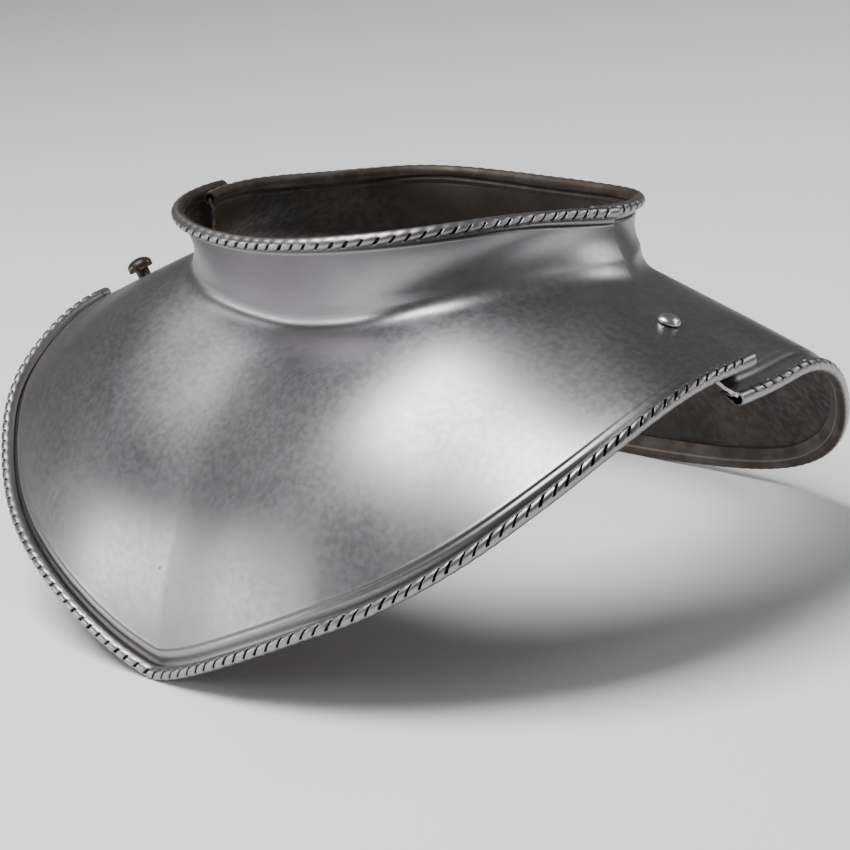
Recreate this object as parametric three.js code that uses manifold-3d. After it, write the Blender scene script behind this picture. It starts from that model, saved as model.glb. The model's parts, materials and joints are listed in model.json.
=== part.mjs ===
// Steel gorget: a pointed front plate and a rounded back plate, each raised in one piece with its own collar
// and with rolled edges at the neck and along the outer border. The back plate tucks inside the front plate at
// both shoulders. A pivot rivet joins them on the wearer's left, and a closure stud on the wearer's right stands
// on the back plate and comes up through a keyhole in the front plate.
//
// Millimetres. +X is the wearer's left, -Y the front and +Z up. The shell is worked out round the neck, with its
// own origin at the middle of the collar's rim, and then tipped until the point of the front plate and the
// lower edge of the back plate both rest on Z = 0, as the gorget stands on a table.

import * as THREE from 'three';
import { mergeVertices } from 'three/addons/utils/BufferGeometryUtils.js';
import Module from 'manifold-3d';

const wasm = await Module();
wasm.setup();

// Sheet, gaps and rolled edges
const SHEET = 1.3;
const PLATE_GAP = 0.5;
const PIECE_GAP = 0.35;
const ROLL_RADIUS = 2.45;
const ROLL_LAP = 5.4;
const REST_FLAT = 0.7;

// Collar rim, round the neck
const RIM_RADIUS = 83.7;
const RIM_BACKSET = 5.8;
const RIM_LOBES = { two: 0.014, three: 0.027, four: -0.052 };
const RIM_WAVES = { one: -2.3, two: -2.7, three: -1.5 };
const RIM_TUCK = 7.0;
const SIDE_WAVES = { two: 0.6, three: 0.1 };
const COLLAR_HOLLOW = 2.0;

// Collar root, where it turns out into the plates
const ROOT_HALF_WIDTH = 92;
const ROOT_FRONT_REACH = 55;
const ROOT_BACK_REACH = 90;
const ROOT_DROP = 38;
const ROOT_BEND = 7;

// Outer border
const HALF_WIDTH = 157.5;
const FRONT_REACH = 124.5;
const BACK_REACH = 142;
const FRONT_DROP = 146;
const BACK_DROP = 110;
const EDGE_WAVES = { one: 2.8, two: -1.9 };
const TIP_DROP = 10.5;
const TIP_TUCK = 5;
const TIP_SPREAD = 30;
const FRONT_BULGE = 14;
const BACK_BULGE = 8;
const SWING_EASE = 4.3;

// Stations round the neck by the rim's angle from the front, on one side. Lengths are shares: root_x of
// ROOT_HALF_WIDTH, root_y and edge_y of the front or back reach by their sign, root_z of ROOT_DROP, edge_x of
// HALF_WIDTH, edge_z of the front or back drop, and bulge of the front or back bulge.
const FRONT_STATIONS = [
  { angle: 0, root_x: 0, root_y: -0.98, root_z: 1.0, edge_x: 0, edge_y: -1.0, edge_z: 1.0, bulge: 1.0 },
  { angle: 20, root_x: 0.284, root_y: -1.0, root_z: 0.94, edge_x: 0.271, edge_y: -0.987, edge_z: 0.943, bulge: 1.0 },
  { angle: 40, root_x: 0.533, root_y: -0.97, root_z: 0.824, edge_x: 0.544, edge_y: -0.902, edge_z: 0.836, bulge: 0.9 },
  { angle: 60, root_x: 0.733, root_y: -0.779, root_z: 0.686, edge_x: 0.764, edge_y: -0.751, edge_z: 0.689, bulge: 0.7 },
  { angle: 80, root_x: 0.878, root_y: -0.405, root_z: 0.567, edge_x: 0.929, edge_y: -0.534, edge_z: 0.507, bulge: 0.35 },
  { angle: 95, root_x: 0.968, root_y: 0.062, root_z: 0.52, edge_x: 1.0, edge_y: -0.193, edge_z: 0.343, bulge: 0.07 },
];
const BACK_STATIONS = [
  { angle: 110, root_x: 0.967, root_y: 0.328, root_z: 0.553, edge_x: 0.974, edge_y: 0.125, edge_z: 0.419, bulge: 0 },
  { angle: 125, root_x: 0.854, root_y: 0.539, root_z: 0.559, edge_x: 0.962, edge_y: 0.357, edge_z: 0.387, bulge: 0 },
  { angle: 138, root_x: 0.684, root_y: 0.749, root_z: 0.538, edge_x: 0.893, edge_y: 0.592, edge_z: 0.522, bulge: 0.15 },
  { angle: 150, root_x: 0.483, root_y: 0.886, root_z: 0.664, edge_x: 0.767, edge_y: 0.799, edge_z: 0.767, bulge: 0.5 },
  { angle: 162, root_x: 0.294, root_y: 0.957, root_z: 0.764, edge_x: 0.535, edge_y: 0.948, edge_z: 0.937, bulge: 0.85 },
  { angle: 171, root_x: 0.147, root_y: 0.988, root_z: 0.819, edge_x: 0.273, edge_y: 0.99, edge_z: 0.988, bulge: 1.0 },
  { angle: 180, root_x: 0, root_y: 1.0, root_z: 0.84, edge_x: 0, edge_y: 1.0, edge_z: 1.0, bulge: 1.0 },
];

// Where each plate ends, as the rim's angle against the share of the section from rim to border. The wearer's
// left is the pivot side. There the back plate's collar starts late, so that it clears the front plate's
// collar as it swings, and only a tongue of it runs forward under the rivet.
const FRONT_END_PIVOT = [
  { share: 0, angle: 108 },
  { share: 1, angle: 110 },
];
const FRONT_END_CLOSING = [
  { share: 0, angle: 70 },
  { share: 0.5, angle: 90 },
  { share: 0.6, angle: 97 },
  { share: 1, angle: 98 },
];
const BACK_START_PIVOT = [
  { share: 0, angle: 107.5 },
  { share: 0.52, angle: 107.5 },
  { share: 0.67, angle: 101 },
  { share: 0.78, angle: 100.5 },
  { share: 1, angle: 106 },
];
const BACK_START_CLOSING = [
  { share: 0, angle: 52 },
  { share: 0.5, angle: 62 },
  { share: 0.75, angle: 82 },
  { share: 1, angle: 90 },
];
const BACK_TUCK_FADE = { from: 108, to: 150 };
const SWING_EASE_FADE = { share: 0.76, from: 112, to: 138 };

// Pivot rivet and closure stud, placed by the rim's angle and the share of the plate from root to border
const PIVOT = { angle: 104, share: 0.49 };
const RIVET = { shank: 2.4, head: 3.85, rise: 2.3, clench: 3.6, clench_rise: 1.1 };
const STUD = { angle: -92, share: 0.57, shank: 2.2, neck: 2.75, neck_rise: 2.9, clench: 3.6, clench_rise: 1.1 };
const STUD_HEAD = { radius: 4.8, rise: 3.6, brim: 0.9, foot: 4.3, foot_rise: 0.2 };
const KEYHOLE_RADIUS = 4.9;
const KEYHOLE_THROAT = 7.0;
const KEYHOLE_RUN = 30;
const HOLE_FIT = 0.3;
const CUT_DEPTH = 12;
const THROAT_BELOW = 3;

// Mesh fineness
const STATION_STEPS = 40;
const COLLAR_STEPS = 3;
const BEND_STEPS = 3;
const PLATE_STEPS = 6;
const ROLL_STEPS = 8;
const ROUND_STEPS = 20;
const CLENCH_STEPS = 3;
const DOME_STEPS = 5;
const ANGLE_STEP = 0.5;
const SHARE_STEP = 0.01;
const MOST_LEAN = 40;
const LEAN_TRIES = 50;

const HALF_TURN = 180;
const FULL_TURN = 360;
const DEGREE = Math.PI / HALF_TURN;
const UP = new THREE.Vector3(0, 0, 1);
const SECTION_STEPS = COLLAR_STEPS + BEND_STEPS + PLATE_STEPS;

// Turns the shares of one station into millimetres
function stationSizes(row) {
  const reach = (share, front, back) => share * (share < 0 ? front : back);
  const isFront = row.angle < BACK_STATIONS[0].angle;
  return {
    angle: row.angle,
    root_x: row.root_x * ROOT_HALF_WIDTH,
    root_y: reach(row.root_y, ROOT_FRONT_REACH, ROOT_BACK_REACH),
    root_z: -row.root_z * ROOT_DROP,
    edge_x: row.edge_x * HALF_WIDTH,
    edge_y: reach(row.edge_y, FRONT_REACH, BACK_REACH),
    edge_z: -row.edge_z * (isFront ? FRONT_DROP : BACK_DROP),
    bulge: row.bulge * (isFront ? FRONT_BULGE : BACK_BULGE),
  };
}

const STATIONS = [...FRONT_STATIONS, ...BACK_STATIONS].map(stationSizes);

// Smooth value of one column at any angle. The shell is the same on both sides, so the columns mirror at the
// front and back, and across sizes change sign there.
function smoothColumn(name, angle) {
  const across = name.endsWith('_x');
  const last = STATIONS.length - 1;
  const at = (i) => {
    if (i < 0) return { angle: -STATIONS[-i].angle, value: (across ? -1 : 1) * STATIONS[-i][name] };
    if (i > last) {
      const mirror = STATIONS[2 * last - i];
      return { angle: FULL_TURN - mirror.angle, value: (across ? -1 : 1) * mirror[name] };
    }
    return { angle: STATIONS[i].angle, value: STATIONS[i][name] };
  };
  const a = Math.abs(angle);
  let i = 0;
  while (i < last - 1 && a > STATIONS[i + 1].angle) i += 1;
  const [p, q, r, s] = [at(i - 1), at(i), at(i + 1), at(i + 2)];
  const width = r.angle - q.angle;
  const slopeQ = ((r.value - p.value) / (r.angle - p.angle)) * width;
  const slopeR = ((s.value - q.value) / (s.angle - q.angle)) * width;
  const t = (a - q.angle) / width;
  const value = (2 * t ** 3 - 3 * t ** 2 + 1) * q.value + (t ** 3 - 2 * t ** 2 + t) * slopeQ
    + (3 * t ** 2 - 2 * t ** 3) * r.value + (t ** 3 - t ** 2) * slopeR;
  return across && angle < 0 ? -value : value;
}

function stepped(rows, share) {
  let i = 0;
  while (i < rows.length - 2 && share > rows[i + 1].share) i += 1;
  const t = (share - rows[i].share) / (rows[i + 1].share - rows[i].share);
  return THREE.MathUtils.lerp(rows[i].angle, rows[i + 1].angle, Math.min(Math.max(t, 0), 1));
}

// The two shoulders stand at slightly different heights
function sideRise(angle) {
  const a = angle * DEGREE;
  return SIDE_WAVES.two * Math.sin(2 * a) + SIDE_WAVES.three * Math.sin(3 * a);
}

function edgeRise(angle) {
  const a = angle * DEGREE;
  return sideRise(angle) + EDGE_WAVES.one * Math.sin(a) + EDGE_WAVES.two * Math.sin(2 * a);
}

function rimPoint(angle, tuck) {
  const a = angle * DEGREE;
  const pair = RIM_LOBES.two * Math.cos(2 * a);
  const lobes = 1 + pair + RIM_LOBES.three * Math.cos(3 * a) + RIM_LOBES.four * Math.cos(4 * a);
  const radius = RIM_RADIUS * lobes - tuck;
  const rise = RIM_WAVES.one * Math.cos(a) + RIM_WAVES.two * Math.cos(2 * a) + RIM_WAVES.three * Math.cos(3 * a);
  return new THREE.Vector3(radius * Math.sin(a), RIM_BACKSET - radius * Math.cos(a), rise + sideRise(angle));
}

function rootPoint(angle) {
  const drop = smoothColumn('root_z', angle) + sideRise(angle);
  return new THREE.Vector3(smoothColumn('root_x', angle), smoothColumn('root_y', angle), drop);
}

function edgePoint(angle) {
  const drop = smoothColumn('edge_z', angle) + edgeRise(angle);
  return new THREE.Vector3(smoothColumn('edge_x', angle), smoothColumn('edge_y', angle), drop);
}

// A point of the plate below the collar, at a share of the way from the root to the border
function platePoint(angle, share) {
  const root = rootPoint(angle);
  const chord = edgePoint(angle).sub(root);
  const level = new THREE.Vector3(chord.x, chord.y, 0);
  const proud = level.clone().normalize().multiplyScalar(-chord.z).addScaledVector(UP, level.length()).normalize();
  const point = root.clone().addScaledVector(chord, share);
  point.addScaledVector(proud, 4 * smoothColumn('bulge', angle) * share * (1 - share));
  const peak = Math.max(0, 1 - Math.abs(angle) / TIP_SPREAD) * share ** 4;
  point.y += TIP_TUCK * peak;
  point.z -= TIP_DROP * peak;
  return point;
}

// The middle of the sheet at one station, from the rim to the border
function section(angle, plate) {
  const rim = rimPoint(angle, plate.tuck(angle));
  const root = rootPoint(angle);
  const length = edgePoint(angle).distanceTo(root);
  const reach = 1 + plate.lap / length;
  const collar = rim.clone().sub(root);
  const height = collar.length();
  const inward = new THREE.Vector3(-Math.sin(angle * DEGREE), Math.cos(angle * DEGREE), 0);
  const above = root.clone().addScaledVector(collar, ROOT_BEND / height);
  const below = platePoint(angle, ROOT_BEND / length);
  const points = [];
  for (let i = 0; i < COLLAR_STEPS; i += 1) {
    const t = i / COLLAR_STEPS;
    const point = rim.clone().lerp(above, t);
    points.push(point.addScaledVector(inward, 4 * COLLAR_HOLLOW * t * (1 - t)));
  }
  for (let i = 0; i < BEND_STEPS; i += 1) {
    const t = i / BEND_STEPS;
    const point = above.clone().multiplyScalar((1 - t) ** 2);
    points.push(point.addScaledVector(root, 2 * t * (1 - t)).addScaledVector(below, t ** 2));
  }
  for (let i = 0; i <= PLATE_STEPS; i += 1) {
    const t = i / PLATE_STEPS;
    points.push(platePoint(angle, THREE.MathUtils.lerp(ROOT_BEND / length, reach, t)));
  }
  return points;
}

// Outward normal of the sheet at one point of a section
function sheetNormal(angle, index, plate) {
  const here = section(angle, plate);
  const along = section(angle + ANGLE_STEP, plate)[index].sub(section(angle - ANGLE_STEP, plate)[index]);
  const down = here[Math.min(index + 1, SECTION_STEPS)].clone().sub(here[Math.max(index - 1, 0)]);
  return down.cross(along).normalize();
}

// The closed outline of the sheet at one station column: outer face, border roll, inner face, neck roll. Each
// row of a column has its own angle, because the plates' ends aren't lines of one angle.
function ringPoints(column, plate) {
  const middles = [];
  const normals = [];
  for (let k = 0; k <= SECTION_STEPS; k += 1) {
    const share = k / SECTION_STEPS;
    const [from, to] = plate.ends(share);
    const turn = THREE.MathUtils.lerp(from, to, column / STATION_STEPS);
    const angle = turn > HALF_TURN ? turn - FULL_TURN : turn;
    const normal = sheetNormal(angle, k, plate);
    middles.push(section(angle, plate)[k].addScaledVector(normal, -plate.inset(angle, share)));
    normals.push(normal);
  }
  const outer = middles.map((point, k) => point.clone().addScaledVector(normals[k], SHEET / 2));
  const inner = middles.map((point, k) => point.clone().addScaledVector(normals[k], -SHEET / 2));
  // A roll runs from the outer face round to the inner face. Its proud value sets how far its centre stands
  // out from the middle of the sheet.
  const roll = (k, away, proud) => {
    const from = Math.PI - Math.asin((SHEET / 2 - proud) / ROLL_RADIUS);
    const to = -Math.PI - Math.asin((-SHEET / 2 - proud) / ROLL_RADIUS);
    const points = [];
    for (let i = 0; i <= ROLL_STEPS; i += 1) {
      const turn = THREE.MathUtils.lerp(from, to, i / ROLL_STEPS);
      const point = middles[k].clone().addScaledVector(normals[k], proud + ROLL_RADIUS * Math.sin(turn));
      points.push(point.addScaledVector(away, ROLL_RADIUS * Math.cos(turn)));
    }
    return points;
  };
  const last = SECTION_STEPS;
  const outward = middles[last].clone().sub(middles[last - 1]);
  outward.addScaledVector(normals[last], -outward.dot(normals[last])).normalize();
  const upward = middles[0].clone().sub(middles[1]);
  upward.addScaledVector(normals[0], -upward.dot(normals[0])).normalize();
  const border = roll(last, outward, plate.proud);
  const neck = roll(0, upward, 0).reverse();
  return [...outer.slice(1, last), ...border, ...inner.slice(1, last).reverse(), ...neck];
}

// Sweeps the outline through its columns and closes both cut ends
function plateGeometry(plate) {
  const rings = [];
  for (let i = 0; i <= STATION_STEPS; i += 1) rings.push(ringPoints(i, plate));
  const count = rings[0].length;
  const faces = SECTION_STEPS - 1;
  const positions = rings.flat().flatMap((point) => [point.x, point.y, point.z]);
  const index = [];
  const quad = (a, b, c, d) => index.push(a, b, c, a, c, d);
  for (let i = 0; i < STATION_STEPS; i += 1) {
    for (let k = 0; k < count; k += 1) {
      const next = (k + 1) % count;
      quad(i * count + k, i * count + next, (i + 1) * count + next, (i + 1) * count + k);
    }
  }
  const cap = (start, flip) => {
    const face = (a, b, c) => {
      const [second, third] = flip ? [c, b] : [b, c];
      index.push(start + a, start + second, start + third);
    };
    const borderStart = faces;
    const borderEnd = faces + ROLL_STEPS;
    const neckStart = borderEnd + faces + 1;
    const neckEnd = neckStart + ROLL_STEPS;
    const outerRow = [neckEnd, ...Array.from({ length: faces }, (_, k) => k), borderStart];
    const innerRow = [neckStart, ...Array.from({ length: faces }, (_, k) => neckStart - 1 - k), borderEnd];
    for (let k = 0; k < outerRow.length - 1; k += 1) {
      face(outerRow[k], innerRow[k + 1], outerRow[k + 1]);
      face(outerRow[k], innerRow[k], innerRow[k + 1]);
    }
    for (let k = 1; k < ROLL_STEPS; k += 1) {
      face(borderStart, borderStart + k + 1, borderStart + k);
      face(neckStart, neckStart + k + 1, neckStart + k);
    }
  };
  cap(0, false);
  cap(STATION_STEPS * count, true);
  const geometry = new THREE.BufferGeometry();
  geometry.setAttribute('position', new THREE.Float32BufferAttribute(positions, 3));
  geometry.setIndex(index);
  return geometry;
}

// How much lower the back plate lies beyond the rivet, so that it swings clear of the front plate's curve
function swingEase(angle, share) {
  const fade = 1 - THREE.MathUtils.smoothstep(angle, SWING_EASE_FADE.from, SWING_EASE_FADE.to);
  const beyond = Math.max(0, share - SWING_EASE_FADE.share) / (1 - SWING_EASE_FADE.share);
  return angle < 0 ? 0 : SWING_EASE * fade * beyond;
}

const FRONT_PLATE = {
  lap: 0,
  proud: ROLL_RADIUS - SHEET / 2,
  inset: () => 0,
  tuck: () => 0,
  ends: (share) => [-stepped(FRONT_END_CLOSING, share), stepped(FRONT_END_PIVOT, share)],
};

const BACK_PLATE = {
  lap: ROLL_LAP,
  proud: SHEET / 2 - ROLL_RADIUS,
  inset: (angle, share) => SHEET + PLATE_GAP + swingEase(angle, share),
  tuck: (angle) => {
    const turned = Math.abs(angle > HALF_TURN ? angle - FULL_TURN : angle);
    return RIM_TUCK * (1 - THREE.MathUtils.smoothstep(turned, BACK_TUCK_FADE.from, BACK_TUCK_FADE.to));
  },
  ends: (share) => [stepped(BACK_START_PIVOT, share), FULL_TURN - stepped(BACK_START_CLOSING, share)],
};

// Booleans
function toSolid(geometry) {
  const bare = geometry.clone();
  bare.deleteAttribute('normal');
  bare.deleteAttribute('uv');
  const merged = mergeVertices(bare, 1e-4);
  const mesh = new wasm.Mesh({
    numProp: 3,
    vertProperties: new Float32Array(merged.attributes.position.array),
    triVerts: new Uint32Array(merged.index.array),
  });
  return new wasm.Manifold(mesh);
}

function toGeometry(solid) {
  const mesh = solid.getMesh();
  const geometry = new THREE.BufferGeometry();
  geometry.setAttribute('position', new THREE.BufferAttribute(new Float32Array(mesh.vertProperties), 3));
  geometry.setIndex(new THREE.BufferAttribute(new Uint32Array(mesh.triVerts), 1));
  geometry.computeVertexNormals();
  return geometry;
}

// A frame standing on the outer face of the front plate: Z along the sheet's normal, X along a chosen direction
function seatFrame(place, direction) {
  const angle = place.angle;
  const origin = platePoint(angle, place.share);
  const along = platePoint(angle + ANGLE_STEP, place.share).sub(platePoint(angle - ANGLE_STEP, place.share));
  const down = platePoint(angle, place.share + SHARE_STEP).sub(platePoint(angle, place.share - SHARE_STEP));
  const normal = down.cross(along).normalize();
  const ahead = direction.clone().addScaledVector(normal, -direction.dot(normal)).normalize();
  const side = normal.clone().cross(ahead);
  return new THREE.Matrix4().makeBasis(ahead, side, normal).setPosition(origin);
}

// A turned piece from its profile of [radius, height] pairs, standing in a seat frame
function turned(profile, frame) {
  const geometry = new THREE.LatheGeometry(profile.map(([r, h]) => new THREE.Vector2(r, h)), ROUND_STEPS);
  geometry.rotateX(Math.PI / 2);
  geometry.applyMatrix4(frame);
  return geometry;
}

function dome(radius, base, rise, steps) {
  return Array.from({ length: steps }, (_, i) => {
    const turn = (i / steps) * (Math.PI / 2);
    return [radius * Math.cos(turn), base + rise * Math.sin(turn)];
  });
}

// Heights in a seat frame of the two sheets' faces
const STACK_TOP = SHEET / 2;
const STACK_BOTTOM = -SHEET / 2 - PLATE_GAP - SHEET;

// The profile of a clenched end from its lowest point up to the shank
function clenchProfile(piece) {
  const under = STACK_BOTTOM - PIECE_GAP;
  const rows = dome(piece.clench, 0, piece.clench_rise, CLENCH_STEPS).map(([r, h]) => [r, under - h]);
  return [[0, under - piece.clench_rise], ...rows.reverse(), [piece.shank, under]];
}

function rivetGeometry(frame) {
  const over = STACK_TOP + PIECE_GAP;
  const head = dome(RIVET.head, over, RIVET.rise, DOME_STEPS);
  return turned([...clenchProfile(RIVET), [RIVET.shank, over], ...head, [0, over + RIVET.rise]], frame);
}

function studGeometry(frame) {
  const footing = STACK_BOTTOM + SHEET + PIECE_GAP;
  const base = STACK_TOP + STUD.neck_rise;
  const cap = dome(STUD_HEAD.radius, base + STUD_HEAD.brim, STUD_HEAD.rise - STUD_HEAD.brim, DOME_STEPS);
  return turned([
    ...clenchProfile(STUD),
    [STUD.shank, footing],
    [STUD.neck, footing],
    [STUD.neck, base],
    [STUD_HEAD.foot, base + STUD_HEAD.foot_rise],
    ...cap,
    [0, base + STUD_HEAD.rise],
  ], frame);
}

function holeGeometry(radius, frame) {
  return turned([[0, -CUT_DEPTH], [radius, -CUT_DEPTH], [radius, CUT_DEPTH], [0, CUT_DEPTH]], frame);
}

// The keyhole's way out, from the hole to the front plate's hidden rear edge
function throatGeometry(frame) {
  const geometry = new THREE.BoxGeometry(KEYHOLE_RUN, KEYHOLE_THROAT, CUT_DEPTH);
  geometry.translate(KEYHOLE_RUN / 2, 0, CUT_DEPTH / 2 - THROAT_BELOW);
  geometry.applyMatrix4(frame);
  return geometry;
}

// The two plates swing about the rivet, so the stud leaves its keyhole square to the line between them
const pivotFrame = seatFrame(PIVOT, new THREE.Vector3(0, 1, 0));
const pivotAxis = new THREE.Vector3().setFromMatrixColumn(pivotFrame, 2);
const pivotCentre = new THREE.Vector3().setFromMatrixPosition(pivotFrame);
const studCentre = platePoint(STUD.angle, STUD.share);
const studTravel = studCentre.clone().sub(pivotCentre).cross(pivotAxis);
const studFrame = seatFrame(STUD, studTravel);

const pivotHole = toSolid(holeGeometry(RIVET.shank + HOLE_FIT, pivotFrame));
const studHole = toSolid(holeGeometry(STUD.shank + HOLE_FIT, studFrame));
const keyhole = toSolid(holeGeometry(KEYHOLE_RADIUS, studFrame)).add(toSolid(throatGeometry(studFrame)));
const frontShell = toSolid(plateGeometry(FRONT_PLATE)).subtract(pivotHole).subtract(keyhole);
const backShell = toSolid(plateGeometry(BACK_PLATE)).subtract(pivotHole).subtract(studHole);

// The lean at which the front point and the back border stand on one level
function lowest(solid, lean) {
  const points = solid.getMesh().vertProperties;
  let low = Infinity;
  for (let i = 0; i < points.length; i += 3) {
    low = Math.min(low, points[i + 2] * Math.cos(lean) - points[i + 1] * Math.sin(lean));
  }
  return low;
}

function restLean() {
  let [low, high] = [-MOST_LEAN * DEGREE, MOST_LEAN * DEGREE];
  for (let i = 0; i < LEAN_TRIES; i += 1) {
    const lean = (low + high) / 2;
    if (lowest(frontShell, lean) < lowest(backShell, lean)) low = lean;
    else high = lean;
  }
  return (low + high) / 2;
}

const lean = restLean();
const stand = new THREE.Matrix4().makeRotationX(-lean);
const bothPlates = toGeometry(frontShell.add(backShell)).applyMatrix4(stand);
const footprint = new THREE.Box3().setFromBufferAttribute(bothPlates.attributes.position);
const middle = footprint.getCenter(new THREE.Vector3());
stand.setPosition(-middle.x, -middle.y, -REST_FLAT - footprint.min.z);

// Small flats worn on the two places that it rests on
function rested(solid) {
  const slab = new THREE.BoxGeometry(4 * HALF_WIDTH, 4 * BACK_REACH, CUT_DEPTH).translate(0, 0, -CUT_DEPTH / 2);
  return toGeometry(toSolid(toGeometry(solid).applyMatrix4(stand)).subtract(toSolid(slab)));
}

function steel(color, roughness) {
  return new THREE.MeshStandardMaterial({ color, roughness, metalness: 1 });
}

const gorget = new THREE.Group();
gorget.name = 'gorget';

function addPiece(name, geometry, material) {
  const mesh = new THREE.Mesh(geometry, material);
  mesh.name = name;
  gorget.add(mesh);
}

const rivet = rivetGeometry(pivotFrame.clone().premultiply(stand));
const stud = studGeometry(studFrame.clone().premultiply(stand));
addPiece('front_plate', rested(frontShell), steel(0xa3a2a3, 0.32));
addPiece('back_plate', rested(backShell), steel(0x9b9a9c, 0.34));
addPiece('pivot_rivet', toGeometry(toSolid(rivet)), steel(0xc4c3c2, 0.25));
addPiece('closure_stud', toGeometry(toSolid(stud)), steel(0x4a3c34, 0.5));

export default gorget;
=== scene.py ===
import json
import logging
import math
from dataclasses import dataclass, field
from enum import Enum

import bpy
import numpy as np
from mathutils import Matrix, Vector


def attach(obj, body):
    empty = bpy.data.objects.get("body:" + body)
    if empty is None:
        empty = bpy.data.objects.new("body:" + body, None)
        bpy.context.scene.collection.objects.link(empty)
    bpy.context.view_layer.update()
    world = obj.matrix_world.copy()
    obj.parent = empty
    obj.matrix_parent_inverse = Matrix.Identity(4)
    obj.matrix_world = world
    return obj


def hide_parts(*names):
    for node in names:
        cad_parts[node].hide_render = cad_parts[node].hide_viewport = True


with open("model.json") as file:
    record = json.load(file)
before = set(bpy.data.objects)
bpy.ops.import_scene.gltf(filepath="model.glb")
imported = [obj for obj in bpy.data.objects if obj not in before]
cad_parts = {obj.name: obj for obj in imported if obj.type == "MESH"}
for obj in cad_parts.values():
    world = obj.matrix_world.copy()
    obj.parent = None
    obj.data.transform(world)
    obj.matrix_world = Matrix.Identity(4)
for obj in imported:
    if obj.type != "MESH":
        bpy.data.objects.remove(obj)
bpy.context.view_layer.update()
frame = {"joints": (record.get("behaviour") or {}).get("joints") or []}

logging.basicConfig(level=logging.INFO, format="%(name)s: %(message)s")
log = logging.getLogger("gorget")

MM = 0.001

# How the gorget stands: its collar is level in its own frame, and leans back by this much on the table
LEAN = math.radians(8.5619)

# Sheet and rolled edges, in millimetres
SHEET = 1.3
PLATE_GAP = 0.5
BEAD_RADIUS = 2.45
BACK_LAP = 5.4

Socket = bpy.types.NodeSocket
Array = np.ndarray
Piece = bpy.types.Object
Pair = tuple[float, float]
Triple = tuple[float, float, float]


class Side(Enum):
    """Which of the two plates a piece belongs to."""

    FRONT = "front"
    BACK = "back"


def smooth(value: Array, low: float, high: float) -> Array:
    """Returns 0 below low, 1 above high and a smooth step between them."""
    t = np.clip((value - low) / (high - low), 0.0, 1.0)
    return t * t * (3.0 - 2.0 * t)


def unit(vectors: Array) -> Array:
    """Returns the vectors at length one."""
    return vectors / np.maximum(np.linalg.norm(vectors, axis=-1, keepdims=True), 1e-9)


def bell(value: Array, middle: float, width: float) -> Array:
    """Returns a soft bump of height one about a middle value."""
    return np.exp(-(((value - middle) / width) ** 2))


def waves(position: Array, length: float, seed: int) -> Array:
    """A gentle hand-made unevenness along a line.

    Args:
        position: places along the line, in millimetres.
        length: the usual length of one wave, in millimetres.
        seed: which unevenness.

    Returns:
        Values from about -1 to 1.
    """
    dice = np.random.default_rng(seed)
    total = np.zeros_like(position, dtype=float)
    for share in (1.0, 0.61, 0.37):
        total += share * np.sin(2 * math.pi * position / (length * share) + dice.uniform(0, 2 * math.pi))
    return total / 2.0


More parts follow.
